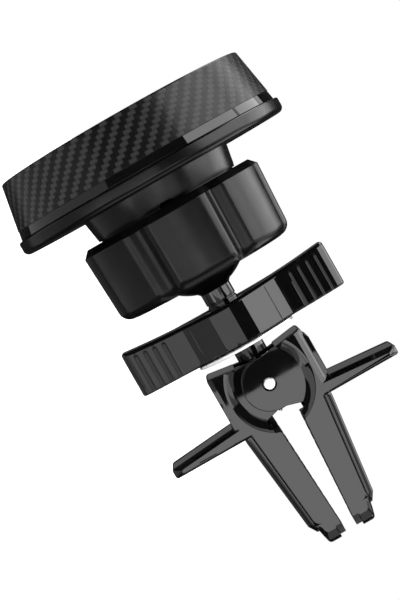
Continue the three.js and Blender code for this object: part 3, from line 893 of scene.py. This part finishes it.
def jaw_outline(drop, outer, arm_top, arm_end, arm_low, leg, tip):
    """One section of a jaw. drop lowers the shoulder's top, outer is the shoulder's side, arm_top, arm_end
    and arm_low bound the side arm, leg shifts the leg's outer edge and tip is where the leg ends."""
    lip_top = grip_face(GRIP_TOP_Y) + LIP_BACK
    lip_tip = grip_face(GRIP_TIP_Y) + LIP_BACK
    back_top = grip_face(GRIP_TOP_Y) + GRIP_THICK - 0.2
    back_tip = grip_face(tip) + GRIP_THICK + 0.05
    lip_end = min(tip - 0.3, GRIP_TIP_Y)
    return rounded([(NECK_CLEAR, vee(NECK_CLEAR) + drop, 0.1), (outer, vee(outer) + drop, 0.45),
                    (outer, arm_top, 0.25), (arm_end, arm_top + 0.085 * (arm_end - outer), 0.42),
                    (arm_end, arm_low, 0.38), (6.2 - leg, arm_low, 0.12), (4.48 - leg, 6.3, 1.0),
                    (4.15 - leg, tip - 1.6, 0.8), (3.75 - leg, tip, 0.6), (back_tip, tip, 0.15),
                    (back_tip, lip_end, 0.08), (lip_tip, lip_end, 0.08), (lip_top, GRIP_TOP_Y, 0.08),
                    (back_top, GRIP_TOP_Y, 0.08), (back_top, PIVOT_Y, 0.1), (NECK_CLEAR, PIVOT_Y, 0.1)], 4)


def jaw_body(name, strip, ledge):
    """Shoulder, side arm and leg, lofted so that their front edges slope. strip is where the flat strip on
    the shoulder's outer edge starts and ledge where it ends."""
    # Depth from the jaw's face, then drop, outer, arm_top, arm_end, arm_low, leg and tip
    levels = [(0.0, 0.1, strip, -11.3, 17.25, -9.92, 0.32, 7.9),
              (0.3, 0.06, ledge, -11.45, 17.65, -9.78, 0.17, 8.5),
              (0.62, 0.03, ledge + 0.05, -11.6, 18.0, -9.66, 0.06, 9.1),
              (1.25, 0.0, SHOULDER_Z - 0.02, -11.9, ARM_Z - 0.06, -9.52, 0.0, 9.55),
              (2.0, 0.0, SHOULDER_Z, -11.95, ARM_Z, -9.5, 0.0, LEG_TIP_Y)]
    sections = [(depth - CLIP_HALF, jaw_outline(*row)) for depth, *row in levels]
    sections += [(CLIP_HALF - depth, jaw_outline(*row)) for depth, *row in reversed(levels)]
    return loft(name, sections)


def rib(name):
    """The rounded stiffening rib on the leg's outer side, set back from both faces."""
    outline = [(3.0, -10.6), (7.16, -10.6), (7.16, -9.0), (5.42, 6.1), (4.6, 7.4), (3.0, 7.4)]
    return prism(name, outline, -5.0, 5.0, 0.85, 8)


def web(name, x0, x1):
    """Hinge disc and the fan that joins it to the jaw."""
    disc = prism(name, pivot_disc(WEB_R), x0, x1, 0.14)
    fan_z = 5.7
    fan_low = -10.3
    fan = rounded([(0, PIVOT_Y - WEB_R + 0.1, 0), (NECK_CLEAR, vee(NECK_CLEAR) + 0.05, 0),
                   (fan_z, vee(fan_z) + 0.05, 0), (fan_z, fan_low, 0), (3.0, fan_low, 0.3),
                   (0, PIVOT_Y + WEB_R - 0.2, 0)], 4)
    return unite(disc, prism("fan", fan, x0 + 0.005, x1 - 0.005, 0.1))


def recess_tools():
    """The cutters of the hub's clearance: a bore with a flared mouth on each face."""
    deep = CLIP_HALF - CONE_DEPTH
    flare = (CONE_R - HUB_CLEAR_R) / CONE_DEPTH
    wide = CONE_R + flare
    tools = [axle("bore", HUB_CLEAR_R, HUB_CLEAR_R, -CLIP_HALF - 1, CLIP_HALF + 1),
             axle("mouth", HUB_CLEAR_R, wide, deep, CLIP_HALF + 1),
             axle("mouth", wide, HUB_CLEAR_R, -CLIP_HALF - 1, -deep)]
    about_pivot = Matrix.Translation((0, PIVOT_Y, 0))
    stretch = about_pivot @ Matrix.Diagonal((1, CONE_STRETCH, 1, 1)) @ about_pivot.inverted()
    for tool in tools:
        tool.data.transform(stretch)
    return tools


def grip_strip(name, past, grown, edge):
    """The strip that a grip pad fills."""
    y0, y1 = GRIP_TOP_Y - past, GRIP_TIP_Y + past
    outline = [(grip_face(y0) - past, y0), (grip_face(y0) + GRIP_THICK + grown, y0),
               (grip_face(y1) + GRIP_THICK + grown, y1), (grip_face(y1) - past, y1)]
    half = GRIP_HALF + grown
    return prism(name, outline, -half, half, edge)


def slant(name):
    """The cutter that leans the top ends of the pad and its lips back."""
    sections = []
    for x in (-CLIP_HALF - 0.7, CLIP_HALF + 0.7):
        y = GRIP_TOP_Y + SLANT * (CLIP_HALF - x)
        sections.append((x, [(0, y - 3), (2.66, y - 3), (2.66, y), (0, y)]))
    return loft(name, sections)


def outer_bar():
    """The raised bar beside the upper jaw's shoulder."""
    outline = rounded([(7.0, VEE_Y, 0.1), (7.9, VEE_Y, 0.5), (8.3, -18.2, 0.6), (8.3, -12.2, 0.3),
                       (7.0, -11.6, 0.1)], 5)
    return prism("bar", outline, -4.4, 5.2, 0.15, 3)


def make_jaw(upper):
    side = "upper" if upper else "lower"
    strip, ledge = (6.6, 7.2) if upper else (7.05, 7.7)
    body = jaw_body(f"{side}_clip_jaw", strip, ledge)
    cut(body, *recess_tools())
    cut(body, grip_strip("pocket", 1, 0.05, 0))
    cut(body, slant("slant"))
    unite(body, rib("rib"))
    unite(body, web("front_web", *OUTER_WEB), web("back_web", -INNER_WEB[1], -INNER_WEB[0]))
    cut(body, axle("eye", EYE_R, EYE_R, -CLIP_HALF - 1, CLIP_HALF + 1, 64))
    if upper:
        unite(body, outer_bar())
    else:
        notches = [box("notch", -7, -5.2, y - 0.35, y + 0.35, 7.45, 8.2) for y in (-15.6, -13.6)]
        cut(body, *notches)
        turn_over(body)
    place(body, f"{side}_clip", "satin_black", [MATERIALS["shine"]], f"{side}_jaw", sharp=24)


def make_grips():
    """Rubber strips with shallow cross grooves."""
    for side in ("upper", "lower"):
        pad = grip_strip(f"{side}_rubber_grip", 0, 0, 0.12)
        work = bmesh.new()
        count = 12
        step = (GRIP_TIP_Y - GRIP_TOP_Y) / count
        for k in range(1, count):
            y = GRIP_TOP_Y + k * step
            made = bmesh.ops.create_cone(work, cap_ends=True, segments=16, radius1=0.28, radius2=0.28,
                                         depth=14)
            turned = Matrix.Translation((0, y, grip_face(y) - 0.12)) @ Matrix.Rotation(math.pi / 2, 4, "Y")
            bmesh.ops.transform(work, matrix=turned, verts=made["verts"])
        cut(pad, add_work("grooves", work), slant("slant"))
        if side == "lower":
            turn_over(pad)
        place(pad, f"{side}_clip", "grip_rubber", [MATERIALS["grip"]], f"{side}_grip_pad")


def make_pin():
    """Pivot pin with chamfered, slightly crowned ends."""
    half = high("pivot_pin").x
    corners = [(0, -half, 0), (0.76, -half + 0.05, 0), (0.98, -half + 0.3, 0.05)]
    mirrored = [(r, -y, f) for r, y, f in reversed(corners)]
    pin = lathe("pivot_pin_rod", rounded(corners + mirrored, 3, closed=False), 64)
    pin.data.transform(Matrix.Translation((0, PIVOT_Y, 0)) @ Matrix.Rotation(math.pi / 2, 4, "Z"))
    place(pin, "root", "polished_steel", [MATERIALS["steel"]], "pivot_pin")


def spring_path():
    """The spring wire's middle line: a straight leg, the turns round the pin and the other leg."""
    coil = 1.85
    turns = 1.6
    start = math.radians(60)
    reach = 4.6
    x0 = TONGUE_HALF + 0.3
    rise = 2 * SPRING_WIRE + 0.06
    leg = math.sqrt(reach ** 2 - coil ** 2)
    steps = 80
    points = []
    for k in range(steps + 1):
        turn = turns * k / steps
        angle = start + 2 * math.pi * turn
        points.append(Vector((x0 + rise * turn, PIVOT_Y + coil * math.cos(angle), coil * math.sin(angle))))
    end = start + 2 * math.pi * turns
    points.insert(0, points[0] + Vector((0, math.sin(start), -math.cos(start))) * leg)
    points.append(points[-1] + Vector((0, -math.sin(end), math.cos(end))) * leg)
    return points


def make_spring():
    """Torsion spring: a few turns beside the tongue with a straight leg to each jaw."""
    points = spring_path()
    curve = bpy.data.curves.new("wire", "CURVE")
    curve.dimensions = "3D"
    curve.bevel_depth = SPRING_WIRE
    curve.bevel_resolution = 4
    curve.use_fill_caps = True
    spline = curve.splines.new("POLY")
    spline.points.add(len(points) - 1)
    for point, at in zip(spline.points, points):
        point.co = (*at, 1)
    rough = add_object("wire", curve)
    graph = bpy.context.evaluated_depsgraph_get()
    mesh = bpy.data.meshes.new_from_object(rough.evaluated_get(graph))
    bpy.data.objects.remove(rough)
    spring = add_object("closing_spring", mesh)
    place(spring, "root", "spring_steel", [MATERIALS["spring"]], "torsion_spring", sharp=50)


def dress_hidden_nodes():
    """The sealed inner pieces keep their CAD shape and get their own finish."""
    finishes = {"magnet_tray": "inner", "yoke_plate": "plated"}
    finishes.update({f"magnet_{i}": "nickel" for i in range(1, 7)})
    for node, material in finishes.items():
        mesh = frame["nodes"][node].data
        mesh.materials.clear()
        mesh.materials.append(MATERIALS[material])


# ---- Stage, light and camera ----


def make_floor():
    """A plain pale floor well below the mount."""
    half = 3.0
    height = low("head_shell").z * MM - 0.05
    corners = [(-half, -half, height), (half, -half, height), (half, half, height), (-half, half, height)]
    floor = link("floor", corners, [(0, 1, 2, 3)])
    n = Nodes("pale_floor")
    n.colour(n.tint(n.spread(n.noise(400, 3), 0, 1), (0.84, 0.84, 0.84), (0.87, 0.87, 0.87)))
    n.set(Roughness=0.8, Emission_Color=(1, 1, 1, 1), Emission_Strength=0.55)
    floor.data.materials.append(n.material)
    floor.visible_glossy = False


def softbox(name, centre, towards, width, height, radiance):
    """A rectangular softbox of that radiance, in metres, facing a point. Its height lies along Y."""
    data = bpy.data.lights.new(name, "AREA")
    data.shape = "RECTANGLE"
    data.size = width
    data.size_y = height
    data.energy = math.pi * width * height * radiance
    lamp = add_object(name, data)
    back = (Vector(centre) - Vector(towards)).normalized()
    up = (Vector((0, 1, 0)) - back * back.y).normalized()
    across = up.cross(back)
    lamp.matrix_world = Matrix.Translation(centre) @ Matrix((across, up, back)).transposed().to_4x4()
    lamp.visible_camera = False


def front_panel(name, left, right, bottom, top, radiance):
    """A softbox on the plane in front, from its edges along Z and Y."""
    middle = Vector((PANEL_X, (bottom + top) / 2, (left + right) / 2))
    softbox(name, middle, middle - Vector((1, 0, 0)), right - left, top - bottom, radiance)


def make_lights():
    """Softboxes round the mount, most of them in front, with dark gaps that shape its gloss."""
    front_panel("front", -0.3, 0.09, -0.09, 0.0365, 1.5)
    front_panel("front_left", -0.95, -0.3, -0.09, 0.062, 1.5)
    front_panel("front_side", -1.5, -0.95, -0.09, 0.073, 0.55)
    front_panel("front_low", -0.12, 0.13, 0.0522, 0.17, 3.2)
    front_panel("right_low_edge", 0.13, 0.5, 0.0522, 0.1, 0.9)
    front_panel("right_low_front", 0.13, 0.42, 0.1, 0.2, 2.4)
    front_panel("left_low", -0.7, -0.14, 0.05, 0.105, 2.8)
    front_panel("left_low_dim", -0.7, -0.12, 0.107, 0.2, 0.9)
    front_panel("left_side", -0.93, -0.72, 0.0655, 0.2, 4.2)
    front_panel("far_left_side", -1.35, -0.93, 0.0745, 0.2, 3.0)
    front_panel("left_lowest", -0.7, -0.3, 0.205, 0.42, 0.5)
    front_panel("middle_lowest", -0.3, 0.02, 0.205, 0.42, 1.9)
    front_panel("right_lowest", 0.02, 0.75, 0.205, 0.45, 0.75)
    softbox("right", (0.28, -0.2, 0.55), (0.28, -0.2, 0), 0.56, 0.56, 4.4)
    softbox("right_top", (0.635, -0.29, 0.55), (0.635, -0.29, 0), 0.15, 0.38, 4.4)
    softbox("right_back", (-0.24, -0.2, 0.55), (-0.24, -0.2, 0), 0.47, 0.56, 1.9)
    softbox("right_low", (0.055, 0.22, 0.55), (0.055, 0.22, 0), 0.91, 0.28, 1.15)
    softbox("left", (-0.05, 0.04, -0.6), (-0.05, 0.04, 0), 0.9, 0.32, 0.4)
    softbox("left_top", (0.195, -0.335, -0.6), (0.195, -0.335, 0), 1.39, 0.43, 0.6)
    softbox("below", (0.1, 0.6, 0), (0, 0, 0), 0.8, 0.5, 0.9)
    softbox("behind_top", (-0.45, -0.65, 0.62), (0, -0.04, 0), 0.8, 0.5, 3.4)
    softbox("far_side", (-0.8, -0.19, 0), (0, -0.19, 0), 0.2, 0.23, 0.12)
    softbox("behind_low", (-0.3, 0.8, 0.6), (0, -0.02, 0), 0.8, 0.5, 2.2)
    softbox("above", (-0.3, 0, 0.9), (0, -0.02, 0), 0.5, 0.6, 2.5)


def background(tree, colour, strength):
    part = tree.nodes.new("ShaderNodeBackground")
    part.inputs["Color"].default_value = colour
    part.inputs["Strength"].default_value = strength
    return part.outputs[0]


def make_world():
    """White to the camera, bright to matt surfaces and dim in reflections."""
    world = bpy.data.worlds.new("studio")
    bpy.context.scene.world = world
    world.use_nodes = True
    tree = world.node_tree
    tree.nodes.clear()
    path = tree.nodes.new("ShaderNodeLightPath")
    shared = background(tree, (0.95, 0.97, 1, 1), 0.03)
    for ray, strength in (("Is Diffuse Ray", 1.15), ("Is Camera Ray", 1.0)):
        mix = tree.nodes.new("ShaderNodeMixShader")
        tree.links.new(path.outputs[ray], mix.inputs[0])
        tree.links.new(shared, mix.inputs[1])
        tree.links.new(background(tree, (1, 1, 1, 1), strength), mix.inputs[2])
        shared = mix.outputs[0]
    out = tree.nodes.new("ShaderNodeOutputWorld")
    tree.links.new(shared, out.inputs["Surface"])


def make_camera():
    """Looks almost along the pin, from a little towards the phone, rolled so that the mount leans."""
    data = bpy.data.cameras.new("camera")
    data.lens = CAMERA_LENS
    data.sensor_width = 36
    data.clip_start = 0.01
    camera = add_object("camera", data)
    back = (CAMERA_AT - CAMERA_AIM).normalized()
    right = (CAMERA_ROLL - back * CAMERA_ROLL.dot(back)).normalized()
    up = back.cross(right)
    camera.matrix_world = Matrix.Translation(CAMERA_AT) @ Matrix((right, up, back)).transposed().to_4x4()
    bpy.context.scene.camera = camera


def make_pieces():
    make_face_pad()
    make_shell()
    make_cover()
    make_screws()
    make_socket()
    make_liners()
    make_nut()
    make_stud()
    make_wheel()
    make_washer()
    make_jaw(upper=True)
    make_jaw(upper=False)
    make_grips()
    make_pin()
    make_spring()
    dress_hidden_nodes()


make_camera()
make_pieces()
make_floor()
make_lights()
make_world()
bpy.context.scene.view_settings.view_transform = "Standard"
